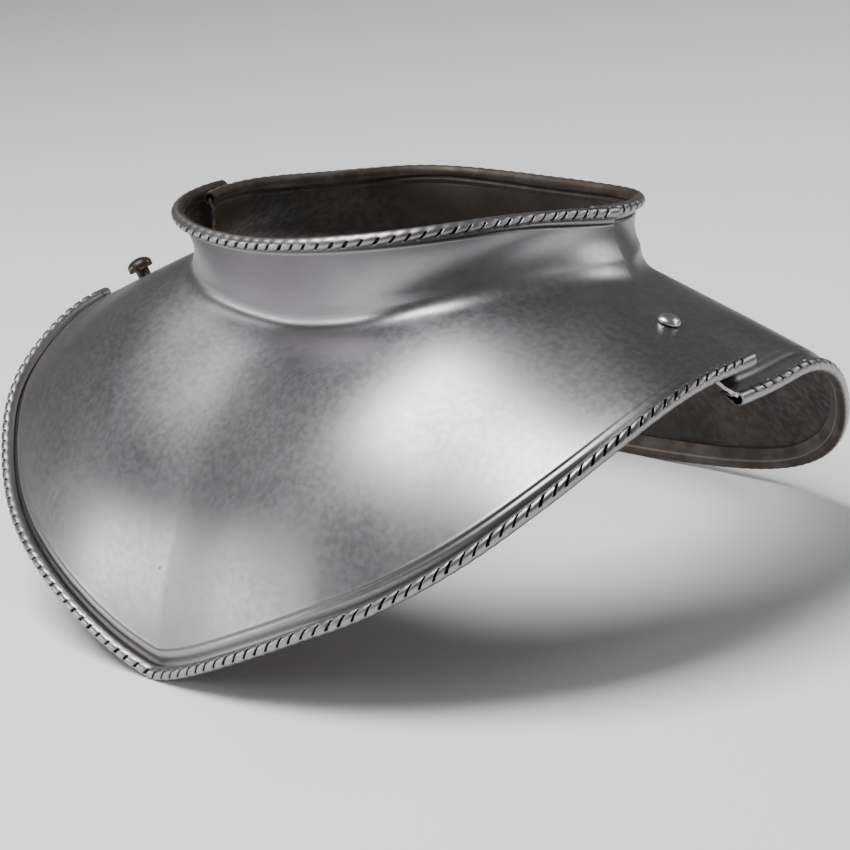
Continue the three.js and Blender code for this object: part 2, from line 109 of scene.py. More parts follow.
@dataclass
class Shell:
    """The form that both plates follow, worked out round the neck by the rim's angle from the front.

    Lengths are millimetres in the collar's own frame, with its origin at the middle of the rim.
    """

    rim_radius: float = 83.7
    rim_backset: float = 5.8
    rim_lobes: Triple = (0.014, 0.027, -0.052)
    rim_waves: Triple = (-2.3, -2.7, -1.5)
    side_waves: Pair = (0.6, 0.1)
    edge_waves: Pair = (2.8, -1.9)
    collar_hollow: float = 2.0
    root_half_width: float = 92.0
    root_front: float = 55.0
    root_back: float = 90.0
    root_drop: float = 38.0
    root_bend: float = 7.0
    half_width: float = 157.5
    front_reach: float = 124.5
    back_reach: float = 142.0
    front_drop: float = 146.0
    back_drop: float = 110.0
    front_bulge: float = 14.0
    back_bulge: float = 8.0
    tip_drop: float = 10.5
    tip_tuck: float = 5.0
    tip_spread: float = 36.0
    tip_power: float = 1.35
    easing: float = 4.0
    columns: dict[str, Array] = field(default_factory=dict)

    # angle, then shares: root x, y, z, edge x, y, z and bulge
    FRONT_ROWS = (
        (0, 0.0, -0.98, 1.0, 0.0, -1.0, 1.0, 1.0),
        (20, 0.284, -1.0, 0.94, 0.271, -0.987, 0.943, 1.0),
        (40, 0.533, -0.97, 0.824, 0.544, -0.902, 0.836, 0.9),
        (60, 0.733, -0.779, 0.686, 0.764, -0.751, 0.689, 0.7),
        (80, 0.878, -0.405, 0.567, 0.929, -0.534, 0.507, 0.35),
        (95, 0.968, 0.062, 0.52, 1.0, -0.193, 0.343, 0.07),
    )
    BACK_ROWS = (
        (110, 0.967, 0.328, 0.553, 0.974, 0.125, 0.419, 0.0),
        (125, 0.854, 0.539, 0.559, 0.962, 0.357, 0.387, 0.0),
        (138, 0.684, 0.749, 0.538, 0.893, 0.592, 0.522, 0.15),
        (150, 0.483, 0.886, 0.664, 0.767, 0.799, 0.767, 0.5),
        (162, 0.294, 0.957, 0.764, 0.535, 0.948, 0.937, 0.85),
        (171, 0.147, 0.988, 0.819, 0.273, 0.99, 0.988, 1.0),
        (180, 0.0, 1.0, 0.84, 0.0, 1.0, 1.0, 1.0),
    )
    # The tables' step in degrees, and how many steps the easing reaches either way
    ANGLE_STEP = 0.5
    EASING_REACH = 40

    NAMES = ("root_x", "root_y", "root_z", "edge_x", "edge_y", "edge_z", "bulge")

    def __post_init__(self) -> None:
        """Turns the rows of shares into smooth tables, one value for each half degree."""
        sizes = [self.sizes(row, Side.FRONT) for row in self.FRONT_ROWS]
        sizes += [self.sizes(row, Side.BACK) for row in self.BACK_ROWS]
        rows = np.array(sizes)
        self.angles = np.arange(-180.0, 180.0, self.ANGLE_STEP)
        for i, name in enumerate(self.NAMES):
            self.columns[name] = self.table(rows[:, 0], rows[:, i + 1], name.endswith("_x"))

    def sizes(self, row: tuple[float, ...], side: Side) -> list[float]:
        """Turns one row of shares into millimetres.

        Args:
            row: angle, root x, y, z, edge x, y, z and bulge.
            side: the plate whose drop and bulge the row is a share of.

        Returns:
            The same columns in degrees and millimetres.
        """
        angle, root_x, root_y, root_z, edge_x, edge_y, edge_z, bulge = row
        front = side is Side.FRONT
        return [
            angle,
            root_x * self.root_half_width,
            root_y * (self.root_front if root_y < 0 else self.root_back),
            -root_z * self.root_drop,
            edge_x * self.half_width,
            edge_y * (self.front_reach if edge_y < 0 else self.back_reach),
            -edge_z * (self.front_drop if front else self.back_drop),
            bulge * (self.front_bulge if front else self.back_bulge),
        ]

    def table(self, knots: Array, values: Array, across: bool) -> Array:
        """Draws one column smoothly through its rows and eases its bends.

        Args:
            knots: the rows' angles, from 0 to 180.
            values: the rows' values.
            across: whether the value changes sign from side to side.

        Returns:
            The value at each of the shell's angles.
        """
        sign = -1.0 if across else 1.0
        xs = np.concatenate(([-knots[1]], knots, [360.0 - knots[-2]]))
        vs = np.concatenate(([sign * values[1]], values, [sign * values[-2]]))
        a = np.abs(self.angles)
        i = np.clip(np.searchsorted(knots, a, side="left") - 1, 0, len(knots) - 2) + 1
        width = xs[i + 1] - xs[i]
        slope_here = (vs[i + 1] - vs[i - 1]) / (xs[i + 1] - xs[i - 1]) * width
        slope_next = (vs[i + 2] - vs[i]) / (xs[i + 2] - xs[i]) * width
        t = (a - xs[i]) / width
        value = (2 * t**3 - 3 * t**2 + 1) * vs[i] + (t**3 - 2 * t**2 + t) * slope_here
        value += (3 * t**2 - 2 * t**3) * vs[i + 1] + (t**3 - t**2) * slope_next
        value = np.where(self.angles < 0, sign * value, value)
        reach = self.EASING_REACH
        offsets = np.arange(-reach, reach + 1)
        weights = np.exp(-0.5 * (offsets * self.ANGLE_STEP / self.easing) ** 2)
        padded = np.concatenate((value[-reach:], value, value[:reach]))
        return np.convolve(padded, weights / weights.sum(), mode="valid")

    def read(self, name: str, angle: Array) -> Array:
        """Returns a column's value at any angles."""
        return np.interp(angle, self.angles, self.columns[name], period=360.0)

    def side_rise(self, angle: Array) -> Array:
        """Returns how much higher one shoulder stands than the other."""
        a = np.radians(angle)
        return self.side_waves[0] * np.sin(2 * a) + self.side_waves[1] * np.sin(3 * a)

    def edge_rise(self, angle: Array) -> Array:
        """Returns how much more the border rises on one side than on the other."""
        a = np.radians(angle)
        return self.edge_waves[0] * np.sin(a) + self.edge_waves[1] * np.sin(2 * a)

    def rim(self, angle: Array, tuck: Array) -> Array:
        """Points of the collar's rim.

        Args:
            angle: rim angles from the front, in degrees.
            tuck: how far the rim is drawn in towards the neck.

        Returns:
            Points, with x, y and z last.
        """
        a = np.radians(angle)
        lobes = 1.0 + sum(size * np.cos(n * a) for n, size in zip((2, 3, 4), self.rim_lobes))
        radius = self.rim_radius * lobes - tuck
        rise = sum(size * np.cos(n * a) for n, size in zip((1, 2, 3), self.rim_waves))
        flat = (radius * np.sin(a), self.rim_backset - radius * np.cos(a), rise + self.side_rise(angle))
        return np.stack(flat, axis=-1)

    def line(self, kind: str, angle: Array) -> Array:
        """Returns points of the root or edge line."""
        x, y, z = (self.read(f"{kind}_{axis}", angle) for axis in "xyz")
        z = z + self.side_rise(angle) + (self.edge_rise(angle) if kind == "edge" else 0.0)
        return np.stack((x, y, z), axis=-1)

    def plate(self, angle: Array, share: Array) -> Array:
        """Points of the plate below the collar.

        Args:
            angle: rim angles in degrees.
            share: how far down from the root to the edge.

        Returns:
            Points, with x, y and z last.
        """
        root = self.line("root", angle)
        chord = self.line("edge", angle) - root
        level = np.hypot(chord[..., 0], chord[..., 1])[..., None]
        proud = unit(np.concatenate((chord[..., :2] / level * -chord[..., 2:], level), axis=-1))
        bow = 4.0 * self.read("bulge", angle) * share * (1.0 - share)
        point = root + chord * share[..., None] + proud * bow[..., None]
        peak = np.clip(1.0 - np.abs(angle) / self.tip_spread, 0.0, 1.0) ** self.tip_power * share**4
        point[..., 1] += self.tip_tuck * peak
        point[..., 2] -= self.tip_drop * peak
        return point

    def middle(self, angle: Array, share: Array, tuck: Array, lap: float) -> Array:
        """Points of the middle of the sheet, from the rim at share 0 to the border at share 1.

        Args:
            angle: rim angles in degrees.
            share: the collar to 0.25, the bend to 0.5 and the plate to 1.
            tuck: how far the rim is drawn in.
            lap: how far the plate runs past the edge line.

        Returns:
            Points, with x, y and z last.
        """
        rim = self.rim(angle, tuck)
        root = self.line("root", angle)
        length = np.linalg.norm(self.line("edge", angle) - root, axis=-1)
        collar = rim - root
        height = np.linalg.norm(collar, axis=-1)
        above = root + collar * (self.root_bend / height)[..., None]
        below = self.plate(angle, self.root_bend / length)
        t = np.clip(share * 4, 0, 1)[..., None]
        a = np.radians(angle)
        inward = np.stack((-np.sin(a), np.cos(a), np.zeros_like(a)), axis=-1)
        on_collar = rim + (above - rim) * t + inward * 4 * self.collar_hollow * t * (1 - t)
        t = np.clip(share * 4 - 1, 0, 1)[..., None]
        on_bend = above * (1 - t) ** 2 + root * 2 * t * (1 - t) + below * t**2
        t = np.clip(share * 2 - 1, 0, 1)
        low = self.root_bend / length
        on_plate = self.plate(angle, low + (1 + lap / length - low) * t)
        upper = np.where(share[..., None] < 0.25, on_collar, on_bend)
        return np.where(share[..., None] < 0.5, upper, on_plate)


def stand_matrix(shell: Shell) -> Matrix:
    """The turn and shift from the collar's frame to the frame that the gorget stands in.

    Args:
        shell: the form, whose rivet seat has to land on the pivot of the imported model.

    Returns:
        A matrix from millimetres in the collar's frame to metres in the standing frame.
    """
    turn = Matrix.Rotation(-LEAN, 4, "X")
    seat = Vector(shell.plate(np.array([PIVOT_PLACE[0]]), np.array([PIVOT_PLACE[1]]))[0])
    pivot = Vector(frame["joints"][0]["pos_m"])
    shift = pivot - turn.to_3x3() @ seat * MM
    return Matrix.Translation(shift) @ turn @ Matrix.Scale(MM, 4)


# Where the rivet and the stud stand: the rim's angle and the share of the plate from root to edge
PIVOT_PLACE = (104.0, 0.49)
STUD_PLACE = (-92.0, 0.57)


def stepped(rows: tuple[Pair, ...], share: Array) -> Array:
    """Returns the angle of a plate's end at each share of the section."""
    return np.interp(share, [row[0] for row in rows], [row[1] for row in rows])


@dataclass
class PlateForm:
    """One plate's outline on the shell and its rolled edges."""

    side: Side
    shell: Shell
    start: tuple[Pair, ...]
    stop: tuple[Pair, ...]
    lap: float
    proud: float
    rim_tuck: float = 7.0
    tuck_fade: Pair = (108.0, 150.0)
    swing_ease: float = 4.3
    ease_from: float = 0.76
    ease_fade: Pair = (112.0, 138.0)

    def tuck(self, angle: Array) -> Array:
        """Returns how far the back plate's rim is drawn in under the front plate's."""
        if self.side is Side.FRONT:
            return np.zeros_like(angle)
        return self.rim_tuck * (1 - smooth(np.abs(angle), *self.tuck_fade))

    def inset(self, angle: Array, share: Array) -> Array:
        """Returns how far the sheet lies inside the shell."""
        if self.side is Side.FRONT:
            return np.zeros_like(angle)
        beyond = np.clip((share - self.ease_from) / (1 - self.ease_from), 0, 1)
        ease = np.where(angle < 0, 0, self.swing_ease * (1 - smooth(angle, *self.ease_fade)) * beyond)
        return SHEET + PLATE_GAP + ease

    def angles(self, share: Array) -> Array:
        """Returns the rim's angle at each point of a grid of shares."""
        across = np.linspace(0, 1, share.shape[1])[None, :]
        angle = stepped(self.start, share) * (1 - across) + stepped(self.stop, share) * across
        return np.where(angle > 180, angle - 360, angle)

    def grid(self, share: Array) -> tuple[Array, Array]:
        """The middle of the sheet at a grid of shares.

        Args:
            share: shares from rim to border by row and by column, from one cut end to the other.

        Returns:
            The points and the sheet's outward normals.
        """
        nudge = 0.002
        shift = np.clip(share, nudge, 1 - nudge)
        angle = self.angles(share)
        points, above, below = (
            self.shell.middle(angle, at, self.tuck(angle), self.lap)
            for at in (share, shift - nudge, shift + nudge)
        )
        normals = unit(np.cross(below - above, np.gradient(points, axis=1)))
        return points - normals * self.inset(angle, share)[..., None], normals


def select_none() -> None:
    """Leaves nothing selected."""
    bpy.ops.object.select_all(action="DESELECT")


def make_active(piece: Piece) -> None:
    """Selects one object alone and makes it the active one."""
    select_none()
    piece.select_set(True)
    bpy.context.view_layer.objects.active = piece


def apply_modifier(piece: Piece, kind: str, **settings: object) -> None:
    """Adds one modifier and applies it.

    Args:
        piece: the object to change.
        kind: Blender's name of the modifier's type.
        settings: the modifier's settings.
    """
    make_active(piece)
    modifier = piece.modifiers.new(kind.title(), kind)
    for name, value in settings.items():
        setattr(modifier, name, value)
    bpy.ops.object.modifier_apply(modifier=modifier.name)


def draped_grid(name: str, points: Array, place: Matrix) -> Piece:
    """A grid primitive laid over a grid of points, its faces looking outwards.

    Args:
        name: the new object's name.
        points: points by row, downwards, and column, towards the wearer's left.
        place: the matrix that takes the points to metres in the standing frame.

    Returns:
        The new object.
    """
    rows, columns = points.shape[:2]
    select_none()
    bpy.ops.mesh.primitive_grid_add(x_subdivisions=columns - 1, y_subdivisions=rows - 1, size=2)
    piece = bpy.context.active_object
    piece.name = name
    turn = np.array(place.to_3x3())
    laid = points[grid_order(rows, columns)] @ turn.T + np.array(place.translation)
    piece.data.vertices.foreach_set("co", laid.astype(np.float32).ravel())
    piece.data.update()
    return piece


def grid_attribute(piece: Piece, name: str, values: Array) -> None:
    """Writes one value for each vertex of a new grid piece.

    Args:
        piece: the grid piece.
        name: the attribute's name.
        values: values by row and column.
    """
    attribute = piece.data.attributes.new(name, "FLOAT", "POINT")
    attribute.data.foreach_set("value", values[grid_order(*values.shape)].astype(np.float32))


def grid_order(rows: int, columns: int) -> tuple[Array, Array]:
    """Returns the row and the column of each vertex of a new grid primitive."""
    index = np.arange(rows * columns)
    return rows - 1 - index // columns, index % columns


def rest_on_floor(piece: Piece) -> None:
    """Flattens what would sink under the floor, where the gorget stands on its border.

    Args:
        piece: the piece, already in its place.
    """
    flat = np.zeros(len(piece.data.vertices) * 3, np.float32)
    piece.data.vertices.foreach_get("co", flat)
    flat[2::3] = np.maximum(flat[2::3], 0.0)
    piece.data.vertices.foreach_set("co", flat)
    piece.data.update()


def finish_piece(piece: Piece, body: str, slot: str, *nodes: str) -> None:
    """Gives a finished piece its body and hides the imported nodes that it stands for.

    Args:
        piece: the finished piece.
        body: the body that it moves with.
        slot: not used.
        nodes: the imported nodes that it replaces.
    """
    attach(piece, body)
    if nodes:
        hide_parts(*nodes)
    log.info("%s: %d faces on body %s", piece.name, len(piece.data.polygons), body)


class Nodes:
    """A material's node tree, written from its shader back."""

    def __init__(self, name: str) -> None:
        """Makes an empty material with a Principled shader."""
        self.material = bpy.data.materials.new(name)
        self.material.use_nodes = True
        self.tree = self.material.node_tree
        self.shader = self.tree.nodes["Principled BSDF"]
        self.place = self.add("ShaderNodeTexCoord").outputs["Object"]

    def add(self, kind: str, **settings: object) -> bpy.types.Node:
        """Returns a new node with these settings."""
        made = self.tree.nodes.new(kind)
        for name, value in settings.items():
            setattr(made, name, value)
        return made

    def link(self, source: Socket, target: Socket) -> None:
        """Joins two sockets."""
        self.tree.links.new(source, target)

    def noise(self, scale: float, detail: float = 3.0, stretch: Triple = (1, 1, 1),
              turn: Triple = (0, 0, 0)) -> Socket:
        """Noise on the object's own coordinates.

        Args:
            scale: how fine it is, per metre.
            detail: how many finer layers it has.
            stretch: how much each axis is drawn out or squeezed.
            turn: how it is turned, in degrees.

        Returns:
            The noise's value.
        """
        mapping = self.add("ShaderNodeMapping")
        mapping.inputs["Scale"].default_value = stretch
        mapping.inputs["Rotation"].default_value = [math.radians(v) for v in turn]
        self.link(self.place, mapping.inputs["Vector"])
        made = self.add("ShaderNodeTexNoise")
        made.inputs["Scale"].default_value = scale
        made.inputs["Detail"].default_value = detail
        self.link(mapping.outputs["Vector"], made.inputs["Vector"])
        return made.outputs["Fac"]

    def ramp(self, source: Socket, low: float, high: float,
             to_low: float = 0.0, to_high: float = 1.0) -> Socket:
        """Maps a value's range to another, held at both ends.

        Args:
            source: the value.
            low: the value that becomes to_low.
            high: the value that becomes to_high.
            to_low: the result at low.
            to_high: the result at high.

        Returns:
            The mapped value.
        """
        made = self.add("ShaderNodeMapRange", interpolation_type="SMOOTHSTEP")
        for key, value in (("From Min", low), ("From Max", high), ("To Min", to_low), ("To Max", to_high)):
            made.inputs[key].default_value = value
        self.link(source, made.inputs["Value"])
        return made.outputs["Result"]

    def maths(self, how: str, first: Socket, second: "Socket | float") -> Socket:
        """Returns two values joined by one operation."""
        made = self.add("ShaderNodeMath", operation=how)
        self.link(first, made.inputs[0])
        if isinstance(second, float):
            made.inputs[1].default_value = second
        else:
            self.link(second, made.inputs[1])
        return made.outputs["Value"]

    def mix(self, factor: Socket, first: object, second: object) -> Socket:
        """Mixes two colours.

        Args:
            factor: how much of the second shows.
            first: a colour or a colour socket.
            second: a colour or a colour socket.

        Returns:
            The mixed colour.
        """
        made = self.add("ShaderNodeMix", data_type="RGBA")
        self.link(factor, made.inputs["Factor"])
        for key, value in ((6, first), (7, second)):
            if isinstance(value, tuple):
                made.inputs[key].default_value = (*value, 1.0)
            else:
                self.link(value, made.inputs[key])
        return made.outputs[2]

    def attribute(self, name: str) -> Socket:
        """Returns a value that the piece's mesh holds."""
        return self.add("ShaderNodeAttribute", attribute_name=name).outputs["Fac"]

    def bump(self, layers: list[tuple[Socket, float]]) -> None:
        """Raises the surface by several layers of relief.

        Args:
            layers: heights from 0 to 1 and how high each stands, in metres.
        """
        before = None
        for height, distance in layers:
            made = self.add("ShaderNodeBump")
            made.inputs["Strength"].default_value = 1.0
            made.inputs["Distance"].default_value = distance
            self.link(height, made.inputs["Height"])
            if before is not None:
                self.link(before, made.inputs["Normal"])
            before = made.outputs["Normal"]
        self.link(before, self.shader.inputs["Normal"])


@dataclass(frozen=True)
class PolishedSteel:
    """Satin polished sheet, with fine scratches, small dark pits, faint planishing, and painted shade in the
    lines along the rolled edges and, when roped, in the notches.
    """

    name: str = "polished_steel"
    colour: Triple = (0.3, 0.291, 0.302)
    stain: Triple = (0.21, 0.199, 0.197)
    # Dark colour for the pits' grime and for the painted shade along the rolled edges and in the notches
    grime_and_shade: Triple = (0.03, 0.026, 0.024)
    brown: Triple = (0.075, 0.06, 0.05)
    roughness: float = 0.36
    roped: bool = False

    def material(self) -> bpy.types.Material:
        """Returns the finish as a material."""
        n = Nodes(self.name)
        clouds = n.noise(16.0, 4.0)
        specks = n.noise(420.0, 2.0)
        pits = n.ramp(n.noise(330.0, 1.0), 0.78, 0.84)
        scratches = n.ramp(n.noise(60.0, 2.0, (1, 14, 1), (20, 35, 50)), 0.72, 0.78)
        cross = n.ramp(n.noise(50.0, 2.0, (16, 1, 1), (-30, 10, 25)), 0.74, 0.79)
        lines = n.maths("MAXIMUM", scratches, cross)
        colour = n.mix(n.ramp(clouds, 0.5, 0.75, 0.0, 0.4), self.colour, self.stain)
        colour = n.mix(n.maths("MULTIPLY", pits, 0.6), colour, self.grime_and_shade)
        colour = n.mix(n.maths("MULTIPLY", lines, 0.12), colour, self.stain)
        # Painted shade: darker in the lines along the rolled edges, by the sheet's seam values
        colour = n.mix(n.attribute("seam"), colour, self.grime_and_shade)
        rough = n.maths("ADD", n.ramp(clouds, 0.3, 0.7, -0.04, 0.06), self.roughness)
        rough = n.maths("ADD", rough, n.ramp(specks, 0.3, 0.7, -0.02, 0.03))
        if self.roped:
            raw = n.attribute("raw")
            patchy = n.maths("MULTIPLY", raw, n.ramp(n.noise(90.0, 4.0), 0.3, 0.62, 0.85, 1.0))
            colour = n.mix(patchy, colour, self.brown)
            # Painted shade in the roping's notches, darker where they cut deeper
            colour = n.mix(n.ramp(n.attribute("notch"), 0.12, 0.5), colour, self.grime_and_shade)
            rough = n.maths("ADD", rough, n.maths("MULTIPLY", patchy, 0.3))
        n.link(colour, n.shader.inputs["Base Color"])
        n.link(rough, n.shader.inputs["Roughness"])
        n.shader.inputs["Metallic"].default_value = 1.0
        n.bump([
            (n.noise(32.0, 1.0), 0.0002),
            (specks, 0.000012),
            (lines, -0.00001),
            (pits, -0.00003),
        ])
        return n.material


@dataclass(frozen=True)
class WornSteel:
    """A plain finish of two colours in patches, with a grain that roughens it."""

    name: str
    colour: Triple
    patch_colour: Triple
    patches: Pair
    patch_shows: Pair
    grain: Pair
    roughness: Pair
    metallic: float
    relief: tuple[float, ...]

    def material(self) -> bpy.types.Material:
        """Returns the finish as a material."""
        n = Nodes(self.name)
        patches = n.noise(*self.patches)
        grain = n.noise(*self.grain)
        colour = n.mix(n.ramp(patches, *self.patch_shows), self.colour, self.patch_colour)
        n.link(colour, n.shader.inputs["Base Color"])
        n.link(n.ramp(grain, 0.3, 0.7, *self.roughness), n.shader.inputs["Roughness"])
        n.shader.inputs["Metallic"].default_value = self.metallic
        n.bump(list(zip((patches, grain), self.relief)))
        return n.material


# The unpolished inside: dark forge skin with brown and reddish patches
RAW_STEEL = WornSteel("raw_steel", (0.014, 0.012, 0.011), (0.042, 0.026, 0.019),
                      (22.0, 5.0), (0.4, 0.68), (300.0, 3.0), (0.5, 0.72), 0.4, (0.0003, 0.00005))
# A filed cut edge, lighter than the faces and roughly scored
CUT_EDGE = WornSteel("cut_edge", (0.62, 0.6, 0.58), (0.2, 0.17, 0.15),
                     (260.0, 3.0), (0.5, 0.7), (260.0, 3.0), (0.3, 0.5), 1.0, (0.00006,))
# The stud's dark brown, worn skin
STUD_STEEL = WornSteel("stud_steel", (0.06, 0.047, 0.04), (0.2, 0.165, 0.14),
                       (400.0, 4.0), (0.45, 0.65), (400.0, 4.0), (0.5, 0.34), 0.9, (0.00012,))


@dataclass
class SheetPiece:
    """The sheet of one plate, from rim to border, with its creased border band and the line under the rim."""

    form: PlateForm
    place: Matrix
    columns: int = 330
    fine_top: float = 10.0
    fine_low: float = 12.0
    fine_step: float = 0.5
    between: int = 60
    samples: int = 240
    cove_depth: float = 1.1
    cove_edge: Pair = (4.0, 6.6)
    band_depth: float = 0.28
    band_edge: Pair = (8.1, 8.6)
    ridge_rise: float = 0.1
    ridge_place: float = 8.9
    ridge_width: float = 0.5
    lap_cove: float = 0.3
    lap_fade: Pair = (78.0, 92.0)
    back_cove: float = 0.5
    rim_line: float = 0.6
    rim_line_place: float = 4.1
    rim_line_width: float = 0.45
    # How dark the painted shade in the groove under the rim is, and how wide
    rim_shade: float = 0.85
    rim_shade_width: float = 0.6

    # Painted shade in the band's step and in the cove: how dark, how far off the bead and how wide
    BORDER_SHADE = ((0.6, 8.3, 0.4), (0.6, 4.2, 1.3))

    def rows(self) -> tuple[Array, Array, Array]:
        """Spaces the rows finely near both rolled edges and evenly between them.

        Returns:
            The share at each point, and its distance from the rim and from the border.
        """
        even = np.linspace(0, 1, self.samples)
        points, _ = self.form.grid(even[:, None] * np.ones((1, self.columns)))
        steps = np.linalg.norm(np.diff(points, axis=0), axis=-1)
        run = np.concatenate((np.zeros((1, points.shape[1])), np.cumsum(steps, axis=0)))
        top = np.arange(0, self.fine_top, self.fine_step)
        low = np.arange(self.fine_low, -1e-6, -self.fine_step)
        shares, from_rim, from_border = [], [], []
        for c in range(points.shape[1]):
            length = run[-1, c]
            middle = np.linspace(self.fine_top, length - self.fine_low, self.between, endpoint=False)
            at = np.concatenate((top, middle, length - low))
            shares.append(np.interp(at, run[:, c], even))
            from_rim.append(at)
            from_border.append(length - at)
        return np.stack(shares, axis=1), np.stack(from_rim, axis=1), np.stack(from_border, axis=1)

    def relief(self, angle: Array, from_rim: Array, from_border: Array) -> Array:
        """How far the outer face stands off the plain form.

        Args:
            angle: the rim's angle at each column.
            from_rim: distance from the rim.
            from_border: distance from the border.

        Returns:
            Heights in millimetres, the same for a whole grid.
        """
        start = self.off_bead(from_border)
        band = -self.band_depth * (1 - smooth(start, *self.band_edge))
        band += self.ridge_rise * bell(start, self.ridge_place, self.ridge_width)
        cove = -(self.cove_depth - self.band_depth) * (1 - smooth(start, *self.cove_edge))
        line = -self.rim_line * bell(from_rim, self.rim_line_place, self.rim_line_width)
        return (band + cove) * self.open_border(angle) + line

    def off_bead(self, from_border: Array) -> Array:
        """Returns the distance from the border's bead as the outer face has it."""
        return from_border - (SHEET if self.form.side is Side.BACK else 0)

    def open_border(self, angle: Array) -> Array:
        """Returns how strongly the border's creased band shows round the neck."""
        if self.form.side is Side.BACK:
            return np.full_like(angle, self.back_cove)
        return 1 - (1 - self.lap_cove) * smooth(np.abs(angle), *self.lap_fade)

    def seam(self, angle: Array, from_rim: Array, from_border: Array) -> Array:
        """How dark the painted shade lies in the lines along both rolled edges: the groove under the rim, the
        band's step and the cove.

        Args:
            angle: the rim's angle at each point.
            from_rim: distance from the rim.
            from_border: distance from the border.

        Returns:
            Shares from 0 to 1, the same for a whole grid.
        """
        start = self.off_bead(from_border)
        # Painted shade: the groove under the rim and the border's step and cove are darkened
        rim = self.rim_shade * bell(from_rim, self.rim_line_place, self.rim_shade_width)
        border = sum(dark * bell(start, middle, width) for dark, middle, width in self.BORDER_SHADE)
        return np.clip(rim + border * self.open_border(angle), 0, 1)

    def build(self, name: str, materials: list[bpy.types.Material]) -> Piece:
        """Forms the sheet.

        Args:
            name: the new object's name.
            materials: the outside's, the inside's and the cut edge's.

        Returns:
            The sheet as a new object.
        """
        share, from_rim, from_border = self.rows()
        points, normals = self.form.grid(share)
        height = SHEET / 2 + self.relief(self.form.angles(share), from_rim, from_border)
        piece = draped_grid(name, points + normals * height[..., None], self.place)
        # Painted shade along the rolled edges' lines, kept on the mesh as its seam values
        crease_shade = self.seam(self.form.angles(share), from_rim, from_border)
        grid_attribute(piece, "seam", crease_shade)
        for material in materials:
            piece.data.materials.append(material)
        apply_modifier(piece, "SOLIDIFY", thickness=SHEET * MM, offset=-1.0,
                       material_offset=1, material_offset_rim=2)
        return piece


